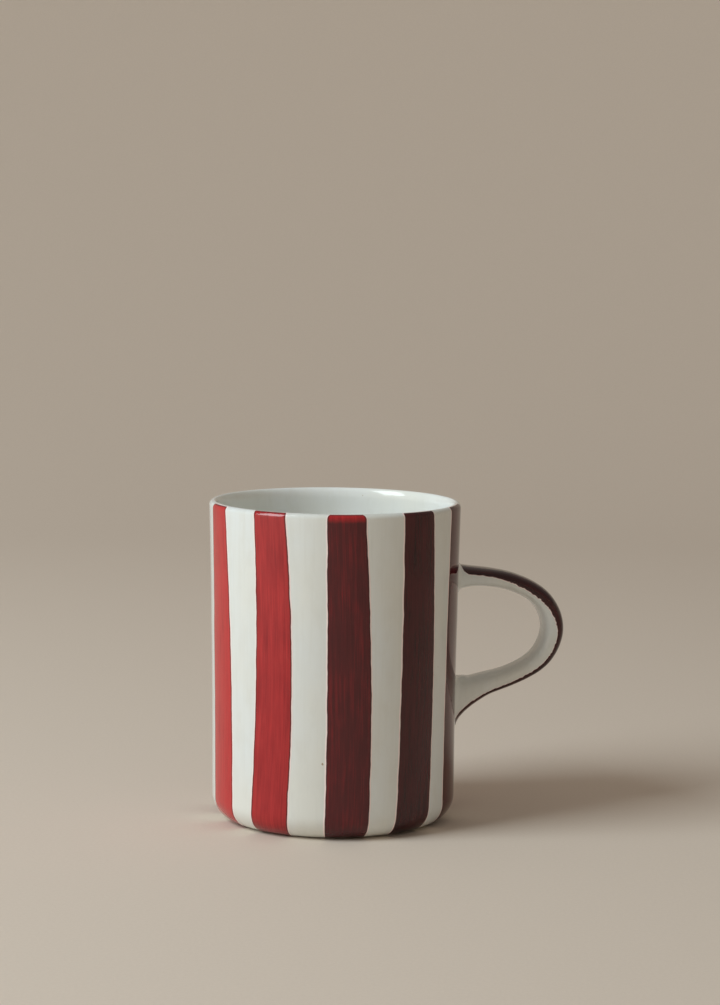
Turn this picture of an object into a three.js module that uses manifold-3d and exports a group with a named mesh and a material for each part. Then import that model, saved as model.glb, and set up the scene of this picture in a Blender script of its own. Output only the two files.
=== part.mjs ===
// A stoneware mug with ten painted vertical stripes and a pulled loop handle.
// Millimetres, +Z up. The origin is on the cup's axis at its resting plane, and the handle is on +X.
import * as THREE from 'three';
import { mergeVertices } from 'three/addons/utils/BufferGeometryUtils.js';
import { ParametricGeometry } from 'three/addons/geometries/ParametricGeometry.js';
import Module from 'manifold-3d';

// Cup body
const HEIGHT = 103;
const WALL_RADIUS = 39.1; // outside, just above the heel
const RIM_FLARE = 1.3; // how much wider the outside is at the rim
const HEEL_RADIUS = 8; // the rounded corner between the wall and the flat base
const WALL = 3.5;
const LIP = 3.0; // thickness of the rounded rim
const FLOOR = 5.5;
const INNER_FILLET = 9; // the rounded corner between the wall and the floor inside
const FACETS = 60;

// Painted stripes
const STRIPES = 10;
const STRIPE_PITCH = 360 / STRIPES;
const STRIPE_WIDTH = 19.5; // degrees round the cup
const STRIPE_BOTTOM = 1.2; // the paint stops this far above the table
const STRIPE_TOP = HEIGHT - 2.2;
const PAINT = 0.25; // thickness of the paint
const SEAT = 0.05; // clearance between the paint and what it lies on

// Handle: the middle line of the strap as seen from the side, from its upper root to its lower one
const HANDLE_LINE = [
  [36, 78],
  [46, 78.4],
  [58, 76.4],
  [67.4, 70.8],
  [71.3, 61.5],
  [67.6, 51.9],
  [58, 45.8],
  [47, 42.3],
  [36, 36.4],
];
const HANDLE_MIDDLE = 60; // height between the two roots
const STRAP_THICK = 5.6;
const STRAP_BELLY = 1.3; // how much thicker the strap is at its outermost point
const STRAP_WIDE = 12.6;
const UPPER_ROOT = { thick: 3.8, wide: 1.6, fade: 3.8 }; // growth at the wall, and how fast it fades
const LOWER_ROOT = { thick: 7.4, wide: 5.2, fade: 5.4 };
const STRAP_SIDES = 16;
const STRAP_STEPS = 32;
const BAND_START = 3.6; // the painted band starts this far out from the cup's wall

// Slip joints between the cup and the handle
const JOINT_GAP = 0.3;
const JOINT = 1.3; // thickness of the slip
const JOINT_COLLAR = 0.5; // how far the slip is squeezed out past the strap

const radians = THREE.MathUtils.degToRad;
const wasm = await Module();
wasm.setup();

// The cup's outside radius at a height: a slow flare towards the rim.
function wallRadius(z) {
  return WALL_RADIUS + RIM_FLARE * (z / HEIGHT) ** 2;
}

// Points on an arc of a profile, from one angle to another in degrees.
function arc(centreR, centreZ, radius, from, to, steps) {
  const points = [];
  for (let i = 0; i <= steps; i += 1) {
    const angle = radians(from + ((to - from) * i) / steps);
    points.push([centreR + radius * Math.cos(angle), centreZ + radius * Math.sin(angle)]);
  }
  return points;
}

// Points up the outside wall, moved out by an offset.
function wallPoints(from, to, steps, offset) {
  const points = [];
  for (let i = 0; i <= steps; i += 1) {
    const z = from + ((to - from) * i) / steps;
    points.push([wallRadius(z) + offset, z]);
  }
  return points;
}

// A turned body about Z, from a profile of [radius, height] points that goes up the outside.
function turned(profile) {
  const points = profile.map(([r, z]) => new THREE.Vector2(Math.max(r, 0), z));
  const geometry = new THREE.LatheGeometry(points, FACETS);
  geometry.rotateX(Math.PI / 2);
  return geometry;
}

// A closed three.js geometry as a manifold solid.
function toSolid(geometry) {
  const bare = geometry.clone();
  bare.deleteAttribute('normal');
  bare.deleteAttribute('uv');
  const merged = mergeVertices(bare, 1e-5);
  const corners = merged.index.array;
  const kept = [];
  for (let i = 0; i < corners.length; i += 3) {
    const [a, b, c] = corners.slice(i, i + 3);
    if (a !== b && b !== c && c !== a) kept.push(a, b, c);
  }
  const mesh = new wasm.Mesh({
    numProp: 3,
    vertProperties: new Float32Array(merged.attributes.position.array),
    triVerts: new Uint32Array(kept),
  });
  return new wasm.Manifold(mesh);
}

// A manifold solid as a three.js geometry.
function toGeometry(solid) {
  const mesh = solid.getMesh();
  const geometry = new THREE.BufferGeometry();
  geometry.setAttribute('position', new THREE.BufferAttribute(mesh.vertProperties, 3));
  geometry.setIndex(new THREE.BufferAttribute(mesh.triVerts, 1));
  geometry.computeVertexNormals();
  return geometry;
}

// The cup: flat base, rounded heel, flared wall, rounded lip and a dished inside.
function cupProfile() {
  const lipRadius = LIP / 2;
  const lipZ = HEIGHT - lipRadius;
  const lipR = wallRadius(lipZ) - lipRadius;
  const heelR = wallRadius(HEEL_RADIUS) - HEEL_RADIUS;
  const filletR = wallRadius(FLOOR) - WALL - INNER_FILLET;
  const innerShoulder = HEIGHT - 16; // the inside thins from here up to the lip
  return [
    [0, 0],
    ...arc(heelR, HEEL_RADIUS, HEEL_RADIUS, -90, 0, 6),
    ...wallPoints(HEEL_RADIUS, lipZ, 5, 0).slice(1),
    ...arc(lipR, lipZ, lipRadius, 0, 180, 6).slice(1),
    [wallRadius(innerShoulder) - WALL, innerShoulder],
    ...arc(filletR, FLOOR + INNER_FILLET, INNER_FILLET, 0, -90, 5),
    [0, FLOOR],
  ];
}

// The paint's full ring, before it is parted into stripes: from the heel up to the rim's outer edge.
function paintProfile() {
  const heelR = wallRadius(HEEL_RADIUS) - HEEL_RADIUS;
  const lowest = THREE.MathUtils.radToDeg(Math.asin(STRIPE_BOTTOM / HEEL_RADIUS - 1));
  const side = (offset) => [
    ...arc(heelR, HEEL_RADIUS, HEEL_RADIUS + offset, lowest, 0, 5),
    ...wallPoints(HEEL_RADIUS, STRIPE_TOP, 5, offset).slice(1),
  ];
  const outside = side(SEAT + PAINT);
  const inside = side(SEAT).reverse();
  return [...outside, ...inside, outside[0]];
}

// A wedge that stands on the cup's axis and parts one stripe from the ring.
function stripeWedge(centre) {
  const reach = 2 * WALL_RADIUS;
  const half = radians(STRIPE_WIDTH / 2);
  const middle = radians(centre);
  const shape = new THREE.Shape([
    new THREE.Vector2(0, 0),
    new THREE.Vector2(reach * Math.cos(middle - half), reach * Math.sin(middle - half)),
    new THREE.Vector2(reach * Math.cos(middle + half), reach * Math.sin(middle + half)),
  ]);
  return toSolid(new THREE.ExtrudeGeometry(shape, { depth: HEIGHT, bevelEnabled: false }));
}

// A solid of revolution that fills the cup's outline plus an offset, to trim the handle's ends with.
function wallFiller(offset) {
  const low = 15;
  const high = HEIGHT - 5;
  return toSolid(turned([[0, low], ...wallPoints(low, high, 8, offset), [0, high]]));
}

const handleCurve = new THREE.CatmullRomCurve3(
  HANDLE_LINE.map(([x, z]) => new THREE.Vector3(x, 0, z)),
  false,
  'centripetal',
);

// The strap at a share of its length: middle, outward direction, and half thickness and half width.
function strapAt(share) {
  const middle = handleCurve.getPointAt(share);
  const along = handleCurve.getTangentAt(share);
  const outward = new THREE.Vector3(-along.z, 0, along.x);
  const root = middle.z > HANDLE_MIDDLE ? UPPER_ROOT : LOWER_ROOT;
  const near = Math.exp(-Math.max(middle.x - wallRadius(middle.z), 0) / root.fade);
  const belly = STRAP_BELLY * Math.max(outward.x, 0) ** 2;
  return {
    middle,
    outward,
    halfThick: (STRAP_THICK + belly + root.thick * near) / 2,
    halfWide: (STRAP_WIDE + root.wide * near) / 2,
  };
}

// A closed body along the handle's curve. sectionAt gives the middle and the two half axes at a share
// of the length, and the first and last rows close the ends.
function loft(sectionAt, sides, steps, turn) {
  const rows = steps + 2;
  const surface = (u, v, target) => {
    const row = Math.round(v * rows);
    const share = THREE.MathUtils.clamp((row - 1) / steps, 0, 1);
    const { middle, outward, halfThick, halfWide } = sectionAt(share);
    const open = row === 0 || row === rows ? 0 : 1;
    const angle = 2 * Math.PI * (u === 1 ? 0 : u) + turn;
    target.copy(middle).addScaledVector(outward, open * halfThick * Math.cos(angle));
    target.y -= open * halfWide * Math.sin(angle);
  };
  return toSolid(new ParametricGeometry(surface, sides, rows));
}

// The whole strap, grown by an offset, with its ends still inside the cup's wall.
function strap(offset) {
  const grown = (share) => {
    const at = strapAt(share);
    at.halfThick += offset;
    at.halfWide += offset;
    return at;
  };
  return loft(grown, STRAP_SIDES, STRAP_STEPS, 0);
}

// A square bar over the strap's outer face. Its inner side marks where the painted band ends.
function bandZone() {
  const bar = (share) => {
    const at = strapAt(share);
    const bandEdge = 0.3 * at.halfThick;
    const halfBar = at.halfThick;
    at.middle.addScaledVector(at.outward, bandEdge + halfBar);
    at.halfThick = halfBar * Math.SQRT2;
    at.halfWide = STRAP_WIDE * Math.SQRT2;
    return at;
  };
  return loft(bar, 4, STRAP_STEPS, Math.PI / 4);
}

const glaze = new THREE.MeshStandardMaterial({ color: 0xdfe0da, roughness: 0.14, metalness: 0 });
const paint = new THREE.MeshStandardMaterial({ color: 0x8c1f1c, roughness: 0.16, metalness: 0 });

const mug = new THREE.Group();

function addMesh(name, geometry, material) {
  const mesh = new THREE.Mesh(geometry, material);
  mesh.name = name;
  mug.add(mesh);
}

addMesh('cup_body', turned(cupProfile()), glaze);

const strapSolid = strap(0);
const handle = strapSolid.subtract(wallFiller(2 * JOINT_GAP + JOINT));
addMesh('handle', toGeometry(handle), glaze);

const slip = strap(JOINT_COLLAR).intersect(wallFiller(JOINT_GAP + JOINT)).subtract(wallFiller(JOINT_GAP));
addMesh('upper_joint', toGeometry(slip.trimByPlane([0, 0, 1], HANDLE_MIDDLE)), glaze);
addMesh('lower_joint', toGeometry(slip.trimByPlane([0, 0, -1], -HANDLE_MIDDLE)), glaze);

const handlePaint = strap(SEAT + PAINT).subtract(strap(SEAT)).intersect(bandZone());
addMesh('handle_stripe', toGeometry(handlePaint.subtract(wallFiller(BAND_START))), paint);

// The paint stops short of the handle's two roots.
const paintRing = toSolid(turned(paintProfile())).subtract(strap(JOINT_COLLAR + JOINT_GAP));
for (let i = 0; i < STRIPES; i += 1) {
  const centre = STRIPE_PITCH * (i + 0.5); // the handle stands midway between two stripes
  const stripe = paintRing.intersect(stripeWedge(centre));
  addMesh(`stripe_${String(i + 1).padStart(2, '0')}`, toGeometry(stripe), paint);
}

export default mug;
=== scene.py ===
"""A stoneware mug with ten brushed red stripes and a pulled handle, on plain pale paper in soft studio light.

Lengths in this script are in millimetres until a mesh, light or camera is made from them.
"""
import math
import bmesh
import bpy
from mathutils import Matrix, Vector, noise


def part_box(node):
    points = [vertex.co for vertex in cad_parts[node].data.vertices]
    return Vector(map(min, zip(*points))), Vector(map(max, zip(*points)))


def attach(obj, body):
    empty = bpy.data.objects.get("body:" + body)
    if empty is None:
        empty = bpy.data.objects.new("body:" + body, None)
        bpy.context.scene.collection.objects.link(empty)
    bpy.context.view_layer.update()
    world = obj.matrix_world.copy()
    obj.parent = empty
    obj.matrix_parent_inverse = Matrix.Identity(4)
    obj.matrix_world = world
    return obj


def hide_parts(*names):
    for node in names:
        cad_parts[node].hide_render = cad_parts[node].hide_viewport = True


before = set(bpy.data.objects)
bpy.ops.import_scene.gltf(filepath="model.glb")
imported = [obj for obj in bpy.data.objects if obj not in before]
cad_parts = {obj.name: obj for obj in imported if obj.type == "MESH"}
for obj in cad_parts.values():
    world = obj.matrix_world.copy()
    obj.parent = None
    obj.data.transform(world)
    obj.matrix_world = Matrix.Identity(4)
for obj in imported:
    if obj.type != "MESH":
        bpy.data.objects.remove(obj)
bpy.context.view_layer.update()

MM = 0.001

# ---------------------------------------------------------------- sizes, from the frame
_, cup_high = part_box("cup_body")
HEIGHT = cup_high[2] / MM
RIM_RADIUS = cup_high[0] / MM
RIM_FLARE = 1.26  # how much narrower the wall is near the base
HEEL_RADIUS = 8.0
WALL = 3.5
LIP_RADIUS = 1.5
LIP_ROLL = 3.5  # the lip rolls over into the wall this far down inside
FLOOR = 5.5
INNER_FILLET = 9.0
BASE_DISH = 0.25  # the unglazed base is very slightly hollow
GLAZE_EDGE = 30.2  # the glaze stops at this radius under the cup

AROUND = 300  # mesh columns round the cup
HANDLE_TURN = 97.0  # degrees from the side that faces the camera round to the handle

# Unevenness of a cup finished by hand
RIM_TILT = 0.009  # the rim is this much of its width lower on one side
RIM_TILT_AXIS = math.radians(-7.0)
WOBBLE = 0.07


def wall_radius(z):
    """Outside radius of the wall at a height."""
    return RIM_RADIUS - RIM_FLARE * (1 - (z / HEIGHT) ** 2)


def settle(point, inside=False):
    """Moves a point of the ideal cup to where the hand-finished one has it."""
    x, y, z = point
    share = max(z, 0) / HEIGHT
    along = x * math.cos(RIM_TILT_AXIS) + y * math.sin(RIM_TILT_AXIS)
    drop = RIM_TILT / 2 * (along + RIM_RADIUS) * share**3
    radius = math.hypot(x, y)
    if radius < 1:
        return Vector((x, y, z - drop))
    shift = WOBBLE * noise.noise(Vector((x, y, z * 0.7)) / 17)
    shift += 0.5 * WOBBLE * noise.noise(Vector((x, y, z * 0.4)) / 6)
    shift *= min(1, share * 6) * (0.6 if inside else 1)
    grown = 1 + shift / radius
    return Vector((x * grown, y * grown, z - drop))


# ---------------------------------------------------------------- mesh helpers
def new_piece(name, mesh, materials, nodes):
    """A finished piece that stands for the named CAD nodes."""
    piece = bpy.data.objects.new(name, mesh)
    bpy.context.scene.collection.objects.link(piece)
    for material in materials:
        mesh.materials.append(material)
    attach(piece, "root")
    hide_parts(*nodes)
    return piece


def grid_mesh(name, rows, wrap, cap_ends=False, values=None, material_of=None):
    """A mesh over rows of points in millimetres. wrap closes each row, and cap_ends closes both ends.

    values gives (edge, brush) for each point of each row, which the paint's material reads."""
    bm = bmesh.new()
    edge_layer = bm.verts.layers.float.new("edge")
    brush_layer = bm.verts.layers.float_vector.new("brush")
    grid = []
    for i, row in enumerate(rows):
        line = []
        for j, point in enumerate(row):
            vert = bm.verts.new(point * MM)
            if values:
                vert[edge_layer], vert[brush_layer] = values[i][j]
            line.append(vert)
        grid.append(line)
    columns = len(rows[0])
    for i in range(len(rows) - 1):
        for j in range(columns if wrap else columns - 1):
            k = (j + 1) % columns
            face = bm.faces.new((grid[i][j], grid[i][k], grid[i + 1][k], grid[i + 1][j]))
            if material_of:
                face.material_index = material_of(i)
    if cap_ends:
        for i, ring in ((0, grid[0]), (len(rows) - 1, grid[-1])):
            centre = bm.verts.new(sum((v.co for v in ring), Vector()) / columns)
            for j in range(columns):
                pair = (ring[j], ring[(j + 1) % columns])
                face = bm.faces.new((centre, pair[1], pair[0]) if i == 0 else (centre, pair[0], pair[1]))
                if material_of:
                    face.material_index = material_of(min(i, len(rows) - 2))
    bmesh.ops.recalc_face_normals(bm, faces=bm.faces)
    for face in bm.faces:
        face.smooth = True
    mesh = bpy.data.meshes.new(name)
    bm.to_mesh(mesh)
    bm.free()
    return mesh


def arc(centre_r, centre_z, radius, start, end, steps):
    """Points [r, z] on an arc of a profile, angles in degrees."""
    points = []
    for i in range(steps + 1):
        angle = math.radians(start + (end - start) * i / steps)
        points.append((centre_r + radius * math.cos(angle), centre_z + radius * math.sin(angle)))
    return points


# ---------------------------------------------------------------- materials
def new_material(name):
    material = bpy.data.materials.new(name)
    material.use_nodes = True
    nodes, links = material.node_tree.nodes, material.node_tree.links
    return material, nodes, links, nodes["Principled BSDF"]


def stretched_noise(nodes, links, vector, scale, detail=3.0, roughness=0.5):
    """Noise whose grain is stretched by giving each axis a scale of its own."""
    mapping = nodes.new("ShaderNodeMapping")
    mapping.inputs["Scale"].default_value = scale
    texture = nodes.new("ShaderNodeTexNoise")
    texture.inputs["Scale"].default_value = 1.0
    texture.inputs["Detail"].default_value = detail
    texture.inputs["Roughness"].default_value = roughness
    links.new(vector, mapping.inputs["Vector"])
    links.new(mapping.outputs["Vector"], texture.inputs["Vector"])
    return texture.outputs["Fac"]


def ramp(nodes, links, value, stops):
    """A colour ramp through (position, colour) stops."""
    node = nodes.new("ShaderNodeValToRGB")
    elements = node.color_ramp.elements
    while len(elements) < len(stops):
        elements.new(1.0)
    for element, (position, colour) in zip(elements, stops):
        element.position = position
        element.color = (*colour, 1.0)
    links.new(value, node.inputs["Fac"])
    return node.outputs["Color"]


def span(nodes, links, value, low, high, to_low=0.0, to_high=1.0):
    """Maps a value from one range to another, smoothly and within its ends."""
    node = nodes.new("ShaderNodeMapRange")
    node.interpolation_type = "SMOOTHSTEP"
    node.inputs["From Min"].default_value = low
    node.inputs["From Max"].default_value = high
    node.inputs["To Min"].default_value = to_low
    node.inputs["To Max"].default_value = to_high
    links.new(value, node.inputs["Value"])
    return node.outputs["Result"]


def blend_colours(nodes, links, factor, first, second):
    """The first colour, turning into the second as the factor goes from 0 to 1."""
    node = nodes.new("ShaderNodeMix")
    node.data_type = "RGBA"
    links.new(factor, node.inputs["Factor"])
    inputs = [s for s in node.inputs if s.type == "RGBA"]
    for socket, colour in zip(inputs, (first, second)):
        if isinstance(colour, tuple):
            socket.default_value = (*colour, 1.0)
        else:
            links.new(colour, socket)
    return next(s for s in node.outputs if s.type == "RGBA")


def weighted_sum(nodes, links, terms):
    """The sum of (value, weight) terms, over 1.25 so that it suits a colour ramp."""
    total = None
    for value, weight in terms:
        node = nodes.new("ShaderNodeMath")
        node.operation = "MULTIPLY_ADD"
        links.new(value, node.inputs[0])
        node.inputs[1].default_value = weight / 1.25
        if total:
            links.new(total, node.inputs[2])
        else:
            node.inputs[2].default_value = 0.0
        total = node.outputs["Value"]
    return total


def bump(nodes, links, shader, height, distance, strength=1.0):
    node = nodes.new("ShaderNodeBump")
    node.inputs["Distance"].default_value = distance
    node.inputs["Strength"].default_value = strength
    links.new(height, node.inputs["Height"])
    links.new(node.outputs["Normal"], shader.inputs["Normal"])


def object_coordinates(nodes):
    return nodes.new("ShaderNodeTexCoord").outputs["Object"]


def white_glaze(name, thin, thick, streaks, iron):
    """A glossy off-white glaze: cool where it lies thick, a little yellow where it thins, with faint
    lines from the throwing, small clouds and a few iron specks."""
    material, nodes, links, shader = new_material(name)
    place = object_coordinates(nodes)
    clouds = stretched_noise(nodes, links, place, (45, 45, 26), detail=4.0)
    patches = stretched_noise(nodes, links, place, (210, 210, 90), detail=4.0, roughness=0.6)
    lines = stretched_noise(nodes, links, place, (900, 900, 30), detail=2.0)
    specks = stretched_noise(nodes, links, place, (560, 560, 560), detail=0.0)
    colour = ramp(nodes, links, clouds, [(0.36, thin), (0.64, thick)])
    cloud = span(nodes, links, patches, 0.44, 0.72, 0.0, 0.5)
    cloud_colour = tuple(0.93 * part for part in thin)
    colour = blend_colours(nodes, links, cloud, colour, cloud_colour)
    streak = span(nodes, links, lines, 0.45, 0.75, 0.0, streaks)
    streak_colour = tuple(0.90 * part for part in thin)
    colour = blend_colours(nodes, links, streak, colour, streak_colour)
    speck = span(nodes, links, specks, 0.885, 0.90)
    colour = blend_colours(nodes, links, speck, colour, iron)
    links.new(colour, shader.inputs["Base Color"])
    links.new(span(nodes, links, patches, 0.3, 0.7, 0.035, 0.065), shader.inputs["Roughness"])
    shader.inputs["IOR"].default_value = 1.5
    ripple = stretched_noise(nodes, links, place, (170, 170, 80), detail=2.0)
    bump(nodes, links, shader, ripple, 0.00006, 0.6)
    return material


def red_paint():
    """Brushed red glaze paint: fine streaks along the brush, a dark pooled line inside each edge, and a
    thin pale pink bleed outside it. The mesh gives the distance in from the edge, in millimetres, the
    brush's own coordinates across and along, and how thin the paint is, which on some stripes also
    holds painted light and shade."""
    material, nodes, links, shader = new_material("red_paint")
    edge_node = nodes.new("ShaderNodeAttribute")
    edge_node.attribute_name = "edge"
    edge = edge_node.outputs["Fac"]
    brush_node = nodes.new("ShaderNodeAttribute")
    brush_node.attribute_name = "brush"
    brush = brush_node.outputs["Vector"]
    hairs = stretched_noise(nodes, links, brush, (4.2, 0.07, 0.0), detail=2.0, roughness=0.6)
    strokes = stretched_noise(nodes, links, brush, (1.1, 0.035, 0.0), detail=3.0)
    pools = stretched_noise(nodes, links, brush, (0.22, 0.07, 0.0), detail=3.0)
    parts = nodes.new("ShaderNodeSeparateXYZ")
    links.new(brush, parts.inputs["Vector"])
    # How thin the paint is sets its tone; on some stripes this also carries painted light and shade.
    thinness_and_shade = weighted_sum(
        nodes,
        links,
        [(hairs, 0.42), (strokes, 0.35), (pools, 0.30), (parts.outputs["Z"], 0.62)],
    )
    # Tones from thick to thin paint; the noises alone come to about half a unit.
    tones = [
        (0.26, (0.026, 0.0022, 0.0036)),
        (0.40, (0.060, 0.0040, 0.0060)),
        (0.58, (0.085, 0.0060, 0.0090)),
        (0.86, (0.28, 0.0100, 0.0140)),
        (1.14, (0.50, 0.028, 0.030)),
    ]
    colour = ramp(nodes, links, thinness_and_shade, [(at / 1.25, tone) for at, tone in tones])
    pooled = span(nodes, links, edge, 0.10, 0.62, 0.82, 0.0)
    colour = blend_colours(nodes, links, pooled, colour, (0.045, 0.003, 0.005))
    bleed = span(nodes, links, edge, 0.02, -0.10)
    colour = blend_colours(nodes, links, bleed, colour, (0.96, 0.80, 0.77))
    fade = span(nodes, links, edge, -0.34, -0.54)
    colour = blend_colours(nodes, links, fade, colour, (0.745, 0.77, 0.755))
    links.new(colour, shader.inputs["Base Color"])
    links.new(span(nodes, links, hairs, 0.3, 0.7, 0.035, 0.06), shader.inputs["Roughness"])
    shader.inputs["IOR"].default_value = 1.5
    bump(nodes, links, shader, strokes, 0.00004, 0.5)
    return material


def bare_clay():
    """The unglazed base: fine-grained, matt, warm grey, with turning rings and rubbed marks."""
    material, nodes, links, shader = new_material("bare_clay")
    place = object_coordinates(nodes)
    grain = stretched_noise(nodes, links, place, (2600, 2600, 2600), detail=3.0)
    stains = stretched_noise(nodes, links, place, (70, 70, 70))
    rings = nodes.new("ShaderNodeTexWave")
    rings.wave_type = "RINGS"
    rings.rings_direction = "Z"
    rings.inputs["Scale"].default_value = 210
    rings.inputs["Distortion"].default_value = 1.2
    rings.inputs["Detail"].default_value = 2.0
    links.new(place, rings.inputs["Vector"])
    colour = ramp(nodes, links, stains, [(0.3, (0.56, 0.50, 0.42)), (0.7, (0.70, 0.655, 0.585))])
    dark_grain = span(nodes, links, grain, 0.35, 0.7, 0.0, 0.35)
    colour = blend_colours(nodes, links, dark_grain, colour, (0.47, 0.41, 0.33))
    links.new(colour, shader.inputs["Base Color"])
    links.new(span(nodes, links, grain, 0.3, 0.7, 0.72, 0.9), shader.inputs["Roughness"])
    height = nodes.new("ShaderNodeMath")
    height.operation = "ADD"
    links.new(rings.outputs["Fac"], height.inputs[0])
    links.new(grain, height.inputs[1])
    bump(nodes, links, shader, height.outputs["Value"], 0.00008, 0.7)
    return material


GLAZE = white_glaze(
    "white_glaze",
    thin=(0.75, 0.765, 0.72),
    thick=(0.745, 0.785, 0.78),
    streaks=0.24,
    iron=(0.40, 0.33, 0.24),
)
# The inside's glaze is the outside's glaze made lighter: painted light inside the cup and over the lip's
# crest.
INNER_GLAZE_PAINTED_LIGHT = white_glaze(
    "inner_glaze_painted_light",
    thin=(0.85, 0.865, 0.81),
    thick=(0.86, 0.89, 0.88),
    streaks=0.05,
    iron=(0.68, 0.65, 0.58),
)
PAINT = red_paint()
CLAY = bare_clay()


# ---------------------------------------------------------------- the cup
HEEL_CENTRE = wall_radius(HEEL_RADIUS) - HEEL_RADIUS
LIP_Z = HEIGHT - LIP_RADIUS
LIP_CENTRE = wall_radius(LIP_Z) - LIP_RADIUS


def cup_profile():
    """The base's points [r, z], all points up the outside, over the lip and down the inside, and the
    number of those before the inside."""
    base_radii = (2.5, 6, 10, 14, 18, 22, 26, GLAZE_EDGE - 0.3)
    base = [(r, BASE_DISH * (1 - (r / HEEL_CENTRE) ** 2)) for r in base_radii]
    glaze_roll = [(GLAZE_EDGE, 0.0), (GLAZE_EDGE + 0.4, 0.0)]
    heel = arc(HEEL_CENTRE, HEEL_RADIUS, HEEL_RADIUS, -90, 0, 20)
    steps = 64
    wall = []
    for i in range(1, steps + 1):
        z = HEEL_RADIUS + (LIP_Z - HEEL_RADIUS) * i / steps
        wall.append((wall_radius(z), z))
    lip = arc(LIP_CENTRE, LIP_Z, LIP_RADIUS, 0, 90, 8)[1:]
    roll_z = HEIGHT - LIP_ROLL
    inner_half = arc(LIP_CENTRE, LIP_Z, LIP_RADIUS, 90, 180, 12)[1:]
    lip += [(r, roll_z + (z - LIP_Z) * LIP_ROLL / LIP_RADIUS) for r, z in inner_half]
    inner_top = LIP_CENTRE - LIP_RADIUS
    fillet_r = wall_radius(FLOOR) - WALL - INNER_FILLET
    fillet_z = FLOOR + INNER_FILLET
    inside = []
    inner_steps = 36
    for i in range(1, inner_steps):
        z = roll_z + (fillet_z - roll_z) * i / inner_steps
        share = min(1, (roll_z - z) / 18)
        ease = share * share * (3 - 2 * share)
        inside.append((inner_top + (wall_radius(z) - WALL - inner_top) * ease, z))
    fillet = arc(fillet_r, fillet_z, INNER_FILLET, 0, -90, 18)
    floor = [(r, FLOOR) for r in (22, 16, 10, 5, 1.5)]
    outside = base + glaze_roll + heel + wall + lip
    return base, outside + inside + fillet + floor, len(outside)


CREST_ROWS = 14  # rows from just outside the lip's crest inwards, which carry the inner glaze, made lighter as painted light


def make_cup():
    base, profile, outer_count = cup_profile()
    rows = []
    for i, (r, z) in enumerate(profile):
        row = []
        for j in range(AROUND):
            angle = 2 * math.pi * j / AROUND
            row.append(settle((r * math.cos(angle), r * math.sin(angle), z), inside=i >= outer_count))
        rows.append(row)

    def material_of(row):
        if row < len(base):
            return 1
        return 2 if row >= outer_count - CREST_ROWS else 0

    mesh = grid_mesh("cup", rows, wrap=True, cap_ends=True, material_of=material_of)
    return new_piece("cup", mesh, [GLAZE, CLAY, INNER_GLAZE_PAINTED_LIGHT], ["cup_body"])


# ---------------------------------------------------------------- the painted stripes
# Each stripe: middle, in degrees round from the handle, at its top, half way and at its foot; width in
# degrees at the same three heights; how far over the lip it starts, in degrees of the lip's arc; how far
# its top corners are rounded, in millimetres; and how thin the paint is, from 0, thick, to 1, thin. The
# last value varies at random, and also holds painted light and shade: stripe_06, on the lit side, is made
# thinner and lighter, and stripe_08 to stripe_10, towards the shaded side, thicker and darker.
STRIPES = {
    "stripe_01": ((18.5, 20.5, 19.0), (17.5, 18.6, 19.4), 48, 1.6, 0.45),
    "stripe_02": ((55.0, 53.2, 54.6), (18.0, 19.6, 19.0), 62, 1.2, 0.6),
    "stripe_03": ((89.0, 90.6, 91.2), (16.6, 18.8, 20.2), 35, 2.2, 0.4),
    "stripe_04": ((127.2, 126.0, 125.0), (17.2, 19.2, 19.8), 58, 1.4, 0.7),
    "stripe_05": ((161.0, 162.4, 161.6), (16.4, 18.2, 19.0), 44, 1.8, 0.55),
    "stripe_06": ((197.2, 198.2, 198.5), (14.6, 19.8, 19.6), 80, 1.2, 0.95),
    "stripe_07": ((232.4, 234.4, 230.5), (16.1, 18.5, 19.7), 92, 1.0, 0.72),
    "stripe_08": ((268.0, 270.1, 269.1), (16.9, 19.9, 20.1), 86, 2.4, 0.07),
    "stripe_09": ((304.0, 305.4, 302.8), (17.3, 19.8, 19.6), 88, 1.0, -0.24),
    "stripe_10": ((337.4, 336.2, 336.0), (17.6, 18.0, 20.6), 90, 1.2, -0.1),
}
THIN_START = "stripe_08"  # the brush was set down here with little paint
THIN_START_BARENESS = 0.75
THIN_START_LENGTH = 3.4
FOOT_DARKENING = 0.4  # the paint is made darker towards the foot
FOOT_LENGTH = 8.0
STRIPE_FOOT = -78.0  # the stripes start at this angle of the heel's arc
PAINT_LIFT = 0.10  # the paint stands this far off the glaze
BLEED = 0.55  # the pale bleed outside the painted edge
STRIPE_COLUMNS = 34
STRIPE_ROWS = 150


def through(values, share):
    """A smooth curve through three values at shares 0, a half and 1."""
    top, middle, foot = values
    bend = 2 * (top + foot - 2 * middle)
    return top + share * (foot - top) + bend * share * (share - 1)


def outside_contour(lip_angle):
    """Points [r, z] up the outside from the stripe's foot to its start on the lip, evenly spaced."""
    points = arc(HEEL_CENTRE, HEEL_RADIUS, HEEL_RADIUS, STRIPE_FOOT, 0, 24)
    for i in range(1, 100):
        z = HEEL_RADIUS + (LIP_Z - HEEL_RADIUS) * i / 100
        points.append((wall_radius(z), z))
    points += arc(LIP_CENTRE, LIP_Z, LIP_RADIUS, 0, lip_angle, 10)
    lengths = [0.0]
    for a, b in zip(points, points[1:]):
        lengths.append(lengths[-1] + math.dist(a, b))
    return points, lengths


def at_length(points, lengths, length):
    """The point and outward direction of a contour at a length along it."""
    k = 1
    while k < len(lengths) - 1 and lengths[k] < length:
        k += 1
    share = (length - lengths[k - 1]) / (lengths[k] - lengths[k - 1])
    a, b = points[k - 1], points[k]
    run, rise = b[0] - a[0], b[1] - a[1]
    size = math.hypot(run, rise)
    return (a[0] + run * share, a[1] + rise * share), (rise / size, -run / size)


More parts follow.
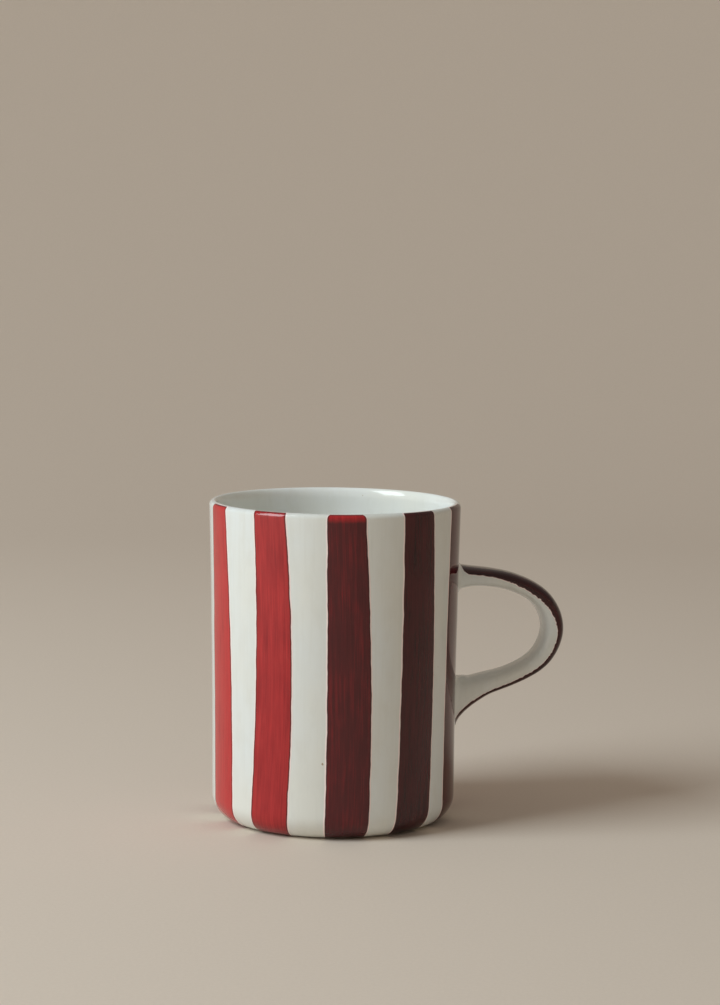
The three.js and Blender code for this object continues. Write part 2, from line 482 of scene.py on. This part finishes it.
def make_stripe(number, name):
    middles, widths, lip_angle, corner, thinness_and_shade = STRIPES[name]
    points, lengths = outside_contour(lip_angle)
    total = lengths[-1]
    rows, values = [], []
    for i in range(STRIPE_ROWS + 1):
        spread = i / STRIPE_ROWS
        # Rows crowd towards the top, where the corners are rounded.
        crowded = 0.9 + 0.1 * math.sin((spread - 0.9) * 5 * math.pi)
        length = total * (spread if spread < 0.9 else crowded)
        (r, z), (out_r, out_z) = at_length(points, lengths, length)
        down = 1 - length / total
        middle = math.radians(through(middles, down))
        half = math.radians(through(widths, down)) / 2 * wall_radius(z)
        from_top = total - length
        if from_top < corner:
            half -= corner * (1 - math.sqrt(max(0, 1 - (1 - from_top / corner) ** 2)))
        # How thin the paint is; on some stripes this carries the painted light and shade from the table's
        # last column.
        bareness_and_shade = thinness_and_shade
        if name == THIN_START:
            bareness_and_shade += THIN_START_BARENESS * (1 - min(1, from_top / THIN_START_LENGTH) ** 3)
        bareness_and_shade -= FOOT_DARKENING * max(0, 1 - length / FOOT_LENGTH)
        seed = 31.7 * number
        left = half + 0.22 * noise.noise(Vector((seed, length / 7, 0)))
        left += 0.08 * noise.noise(Vector((seed, length / 1.7, 5)))
        right = half + 0.22 * noise.noise(Vector((seed, length / 7, 9)))
        right += 0.08 * noise.noise(Vector((seed, length / 1.7, 3)))
        row, row_values = [], []
        for j in range(STRIPE_COLUMNS + 1):
            # Columns crowd towards both edges, where the paint thins out.
            share = 0.5 - 0.5 * math.cos(math.pi * j / STRIPE_COLUMNS)
            across = -(left + BLEED) + share * (left + right + 2 * BLEED)
            inset = min(across + left, right - across)
            end_inset = min(from_top - BLEED, length + 0.3)
            edge = min(inset, end_inset)
            lift = PAINT_LIFT * min(1, max(0, (edge + BLEED) / (BLEED + 0.25))) ** 0.7 - 0.02
            angle = middle + across / wall_radius(z)
            reach = r + out_r * lift
            row.append(settle((reach * math.cos(angle), reach * math.sin(angle), z + out_z * lift)))
            row_values.append((edge, Vector((across + 60 * number, length, bareness_and_shade))))
        # The underside of the layer, sunk a little into the glaze.
        for j, across in ((1, right + BLEED), (0, -(left + BLEED))):
            angle = middle + across / wall_radius(z)
            reach = r - out_r * 0.12
            row.append(settle((reach * math.cos(angle), reach * math.sin(angle), z - out_z * 0.12)))
            row_values.append((-BLEED, Vector((across + 60 * number, length, bareness_and_shade))))
        rows.append(row)
        values.append(row_values)
    mesh = grid_mesh(f"paint_{number:02d}", rows, wrap=True, cap_ends=True, values=values)
    return new_piece(f"paint_{number:02d}", mesh, [PAINT], [name])


# ---------------------------------------------------------------- the handle
HANDLE_LINE = [
    (36, 77.6),
    (46, 78.0),
    (58, 76.0),
    (67.6, 70.4),
    (71.5, 61.1),
    (67.8, 51.5),
    (58, 45.4),
    (47, 41.9),
    (36, 36.0),
]
HANDLE_MIDDLE = 60
STRAP_THICK = 5.6
STRAP_BELLY = 1.3
STRAP_WIDE = 12.6
UPPER_ROOT = (2.6, 1.6, 3.8)  # growth in thickness and width at the wall, and the length it fades over
LOWER_ROOT = (7.2, 5.2, 5.2)
ROOT_FILLET = 1.7
STRAP_SIDES = 72
SECTION_POWER = 2.7  # 2 is an ellipse, and more is squarer


def handle_curve():
    """Points along a smooth curve by the handle's line: a centripetal Catmull-Rom curve, evened out."""
    line = [Vector((x, 0, z)) for x, z in HANDLE_LINE]
    line = [2 * line[0] - line[1]] + line + [2 * line[-1] - line[-2]]
    dense = []
    for a, b, c, d in zip(line, line[1:], line[2:], line[3:]):
        t1 = (b - a).length ** 0.5
        t2 = t1 + (c - b).length ** 0.5
        t3 = t2 + (d - c).length ** 0.5
        for i in range(40):
            t = t1 + (t2 - t1) * i / 40
            ab = a.lerp(b, t / t1)
            bc = b.lerp(c, (t - t1) / (t2 - t1))
            cd = c.lerp(d, (t - t2) / (t3 - t2))
            abc = ab.lerp(bc, t / t2)
            bcd = bc.lerp(cd, (t - t1) / (t3 - t1))
            dense.append(abc.lerp(bcd, (t - t1) / (t2 - t1)))
    dense.append(line[-2])
    reach = 10
    for _ in range(2):
        inner = range(reach, len(dense) - reach)
        means = [sum(dense[i - reach : i + reach + 1], Vector()) / (2 * reach + 1) for i in inner]
        dense = dense[:reach] + means + dense[-reach:]
    return dense


class Strap:
    """The strap's surface, from one fillet on the wall round to the other."""

    def __init__(self):
        dense = handle_curve()
        outside = [p for p in dense if p.x > wall_radius(p.z) - 1]
        self.points = outside
        self.lengths = [0.0]
        for a, b in zip(outside, outside[1:]):
            self.lengths.append(self.lengths[-1] + (b - a).length)

    def along(self, length):
        k = 1
        while k < len(self.lengths) - 1 and self.lengths[k] < length:
            k += 1
        share = (length - self.lengths[k - 1]) / (self.lengths[k] - self.lengths[k - 1])
        a, b = self.points[k - 1], self.points[k]
        before = self.points[max(k - 3, 0)]
        after = self.points[min(k + 2, len(self.points) - 1)]
        return a.lerp(b, share), (after - before).normalized()

    def length_at_distance(self, distance, upper):
        """The length along the curve at which its middle is this far off the wall."""
        order = range(len(self.points)) if upper else range(len(self.points) - 1, -1, -1)
        last = None
        for k in order:
            off = self.points[k].x - wall_radius(self.points[k].z)
            if off >= distance:
                if last is None:
                    return self.lengths[k]
                share = (distance - last[1]) / (off - last[1])
                return last[0] + (self.lengths[k] - last[0]) * share
            last = (self.lengths[k], off)
        return self.lengths[-1]

    def stations(self):
        """(length, growth of the section, distance off the wall or None) from the upper to the lower root."""
        fillet = []
        steps = 12
        fillet.append((-0.12, ROOT_FILLET + 0.55))
        for i in range(steps + 1):
            angle = math.pi / 2 * (1 - i / steps)
            fillet.append((ROOT_FILLET * (1 - math.sin(angle)), ROOT_FILLET * (1 - math.cos(angle))))
        upper = [(self.length_at_distance(max(d, 0.0), True), grow, d) for d, grow in fillet]
        lower = [(self.length_at_distance(max(d, 0.0), False), grow, d) for d, grow in fillet]
        first, last = upper[-1][0], lower[-1][0]
        middle = []
        count = 150
        for i in range(1, count):
            middle.append((first + (last - first) * i / count, 0.0, None))
        return upper + middle + lower[::-1]

    def section(self, length, grow, distance):
        """The ring of points round the strap at a length."""
        centre, along = self.along(length)
        outward = Vector((-along.z, 0, along.x))
        root = UPPER_ROOT if centre.z > HANDLE_MIDDLE else LOWER_ROOT
        off = max(centre.x - wall_radius(centre.z), 0) if distance is None else max(distance, 0)
        near = math.exp(-off / root[2])
        belly = STRAP_BELLY * max(outward.x, 0) ** 2
        half_thick = (STRAP_THICK + belly + root[0] * near) / 2 + grow
        half_wide = (STRAP_WIDE + root[1] * near) / 2 + grow
        hug = min(1, max(0, (8 - off) / 5))
        hug = hug * hug * (3 - 2 * hug)
        ring = []
        angles = [2 * math.pi * j / STRAP_SIDES for j in range(STRAP_SIDES)]
        power = 2 / SECTION_POWER
        for angle in angles:
            c, s = math.cos(angle), math.sin(angle)
            n = half_thick * math.copysign(abs(c) ** power, c)
            w = half_wide * math.copysign(abs(s) ** power, s)
            point = centre + outward * n - Vector((0, w, 0))
            if hug:
                target = off if distance is None else distance
                slid = point.copy()
                for _ in range(6):
                    gap = math.hypot(slid.x, slid.y) - wall_radius(slid.z) - target
                    slid -= along * gap * along.x / max(along.x**2, 0.2)
                point = point.lerp(slid, hug)
            ring.append(point)
        return ring


def strap_unevenness(point):
    """Small dents and swellings of a strap pulled by hand."""
    return 0.13 * noise.noise(point / 11) + 0.05 * noise.noise(point / 4)


def make_handle():
    """The strap and its two joints. Gives back the rings of points and their stations."""
    strap = Strap()
    stations = strap.stations()
    rings = [strap.section(*station) for station in stations]
    for k, ring in enumerate(rings):
        centre = sum(ring, Vector()) / len(ring)
        inner = min(k, len(rings) - 1 - k)
        share = min(1, max(0, (inner - 13) / 12))
        rings[k] = [p + (p - centre).normalized() * strap_unevenness(p) * share for p in ring]
    joint = 13
    parts = (
        ("upper_joint_fillet", rings[: joint + 1], "upper_joint"),
        ("handle_strap", rings[joint:-joint], "handle"),
        ("lower_joint_fillet", rings[-joint - 1 :], "lower_joint"),
    )
    # One mesh of the whole gives every part its normals, so no seam shows where the parts meet.
    whole = grid_mesh("whole", rings, wrap=True)
    normals = [v.normal.copy() for v in whole.vertices]
    for name, part, node in parts:
        mesh = grid_mesh(name, part, wrap=True)
        offset = rings.index(part[0]) * STRAP_SIDES
        same = mesh.vertices[0].normal.dot(normals[offset]) > 0
        own = [normals[offset + k] if same else -normals[offset + k] for k in range(len(mesh.vertices))]
        mesh.normals_split_custom_set_from_vertices(own)
        new_piece(name, mesh, [GLAZE], [node])
    bpy.data.meshes.remove(whole)
    return rings, stations


BAND_THINNESS = -0.4
BAND_RAGGEDNESS = 4.6  # degrees
DEGREE_LENGTH = 0.11  # about the length of a degree round the strap
# How far round the strap the band reaches, in degrees, at distances along it in millimetres
BAND_REACH = [
    (0, 70),
    (10, 79),
    (21, 92),
    (28, 96),
    (36, 88),
    (43, 79),
    (53, 78),
    (62, 76),
    (72, 68),
    (90, 58),
]


def band_reach(length):
    """How far round the strap the band reaches at a length, before its edges are torn."""
    k = max(n for n, (at, _) in enumerate(BAND_REACH[:-1]) if at <= length)
    (at, reach), (next_at, next_reach) = BAND_REACH[k : k + 2]
    return reach + (next_reach - reach) * (length - at) / (next_at - at)


def make_handle_paint(rings, stations):
    """The brushed band on the strap's outer face, with the torn edges of a dry brush."""
    first = next(k for k, s in enumerate(stations) if s[0] > stations[0][0] + 0.5)
    last = len(stations) - 6
    start_length, end_length = stations[first][0], stations[last][0]
    rows, values = [], []
    columns = 30
    for k in range(first, last + 1):
        length = stations[k][0]
        ring = rings[k]
        centre = sum(ring, Vector()) / len(ring)
        from_start = length - start_length
        to_end = end_length - length
        cover = max(6, band_reach(length) * min(1, from_start / 2.5) ** 0.4)
        row, row_values = [], []
        torn = [0.0, 0.0]
        for side in (0, 1):
            rough = noise.noise(Vector((length / 1.1, 7.0 * side, 2)))
            rough += 0.7 * noise.noise(Vector((length / 0.6, 7.0 * side, 4)))
            torn[side] = cover + BAND_RAGGEDNESS * rough
        for j in range(columns + 1):
            share = 0.5 - 0.5 * math.cos(math.pi * j / columns)
            angle = math.radians(-torn[0] - 3 + share * (torn[0] + torn[1] + 6))
            place = (angle / (2 * math.pi) * STRAP_SIDES) % STRAP_SIDES
            low = int(place)
            a, b = ring[low % STRAP_SIDES], ring[(low + 1) % STRAP_SIDES]
            point = a.lerp(b, place - low)
            outward = (point - centre).normalized()
            degrees = math.degrees(angle)
            edge = min(degrees + torn[0], torn[1] - degrees) * DEGREE_LENGTH
            edge = min(edge, from_start + 0.1, to_end + 0.5)
            lift = 0.09 * min(1, max(0, (edge + 0.35) / 0.6)) ** 0.7 - 0.02
            row.append(point + outward * lift)
            row_values.append((edge, Vector((degrees * DEGREE_LENGTH + 700, length, BAND_THINNESS))))
        for j in (columns, 0):
            point = row[j] - (row[j] - centre).normalized() * 0.15
            row.append(point)
            row_values.append((-0.4, Vector((700, length, BAND_THINNESS))))
        rows.append(row)
        values.append(row_values)
    mesh = grid_mesh("handle_band", rows, wrap=True, cap_ends=True, values=values)
    return new_piece("handle_band", mesh, [PAINT], ["handle_stripe"])


make_cup()
for number, name in enumerate(STRIPES, start=1):
    make_stripe(number, name)
make_handle_paint(*make_handle())


# ---------------------------------------------------------------- stage
KEY_COLOUR = (0.85, 0.95, 1.0)
ROOM_COLOUR = (1.0, 0.89, 0.78)
ROOM_STRENGTH = 0.28


def facing(degrees, distance, height):
    """A place in metres, by degrees from the camera's side round towards the handle."""
    angle = math.radians(degrees - HANDLE_TURN)
    return (distance * math.cos(angle), distance * math.sin(angle), height)


def paper():
    """Plain pale paper with a faint tooth, the same all over."""
    material, nodes, links, shader = new_material("backdrop_paper")
    place = object_coordinates(nodes)
    tooth = stretched_noise(nodes, links, place, (900, 900, 900), detail=2.0)
    colour = ramp(nodes, links, tooth, [(0.3, (0.73, 0.635, 0.54)), (0.7, (0.75, 0.655, 0.56))])
    links.new(colour, shader.inputs["Base Color"])
    shader.inputs["Roughness"].default_value = 0.75
    shader.inputs["Specular IOR Level"].default_value = 0.25
    bump(nodes, links, shader, tooth, 0.0001, 0.3)
    return material


def make_backdrop():
    """A round sweep of paper: flat round the mug, and curving up on every side."""
    flat, curve = 720.0, 1050.0
    profile = [(r, 0.0) for r in (60, 200, 400, 580)]
    profile += arc(flat, curve, curve, -90, -22, 30)
    columns = 96
    rows = []
    for r, z in profile:
        angles = [2 * math.pi * j / columns for j in range(columns)]
        rows.append([Vector((r * math.cos(angle), r * math.sin(angle), z)) for angle in angles])
    rows.insert(0, [p * 0.001 for p in rows[0]])
    mesh = grid_mesh("backdrop", rows, wrap=True)
    backdrop = bpy.data.objects.new("backdrop", mesh)
    backdrop.location.z = -0.00003  # just clear of the foot, so that the two faces don't coincide
    mesh.materials.append(paper())
    bpy.context.scene.collection.objects.link(backdrop)


def area_light(name, position, size, watts, colour):
    """A soft rectangular light that points at the mug."""
    data = bpy.data.lights.new(name, "AREA")
    data.shape = "RECTANGLE"
    data.size, data.size_y = size
    data.energy = watts
    data.color = colour
    light = bpy.data.objects.new(name, data)
    light.location = position
    aim = Vector((0, 0, HEIGHT / 2 * MM)) - Vector(position)
    light.rotation_euler = aim.to_track_quat("-Z", "Y").to_euler()
    light.visible_camera = False
    bpy.context.scene.collection.objects.link(light)


def make_lights():
    """Soft studio light: one large softbox high on the left, and an even, dim room."""
    area_light("softbox", facing(-65, 1.35, 1.05), (0.8, 1.1), 22, KEY_COLOUR)
    world = bpy.data.worlds.new("room")
    world.use_nodes = True
    background = world.node_tree.nodes["Background"]
    background.inputs["Color"].default_value = (*ROOM_COLOUR, 1.0)
    background.inputs["Strength"].default_value = ROOM_STRENGTH
    bpy.context.scene.world = world


def set_view():
    """Plain colours, with no grading."""
    view = bpy.context.scene.view_settings
    view.view_transform = "Standard"
    view.look = "None"


CAMERA_DISTANCE = 0.88
CAMERA_HEIGHT = 0.2013
LENS = 98.9
AIM_BELOW_RIM = 0.85  # millimetres
YAW_OFFSET = -0.518  # degrees, which puts the mug left of the picture's middle
ROLL = 0.5  # degrees


def make_camera():
    """A long lens, a little above the rim, with the mug left of the middle of the picture."""
    data = bpy.data.cameras.new("camera")
    data.sensor_width = 36.0
    data.lens = LENS
    camera = bpy.data.objects.new("camera", data)
    camera.location = facing(0, CAMERA_DISTANCE, CAMERA_HEIGHT)
    pitch = math.atan((CAMERA_HEIGHT - (HEIGHT - AIM_BELOW_RIM) * MM) / CAMERA_DISTANCE)
    yaw = math.radians(-HANDLE_TURN + 90.0 + YAW_OFFSET)
    roll = math.radians(ROLL)
    camera.rotation_mode = "XYZ"
    tilt = Matrix.Rotation(math.pi / 2 - pitch, 4, "X")
    turn = Matrix.Rotation(yaw, 4, "Z") @ tilt @ Matrix.Rotation(roll, 4, "Z")
    camera.rotation_euler = turn.to_euler()
    bpy.context.scene.collection.objects.link(camera)
    bpy.context.scene.camera = camera


make_backdrop()
make_lights()
set_view()
make_camera()
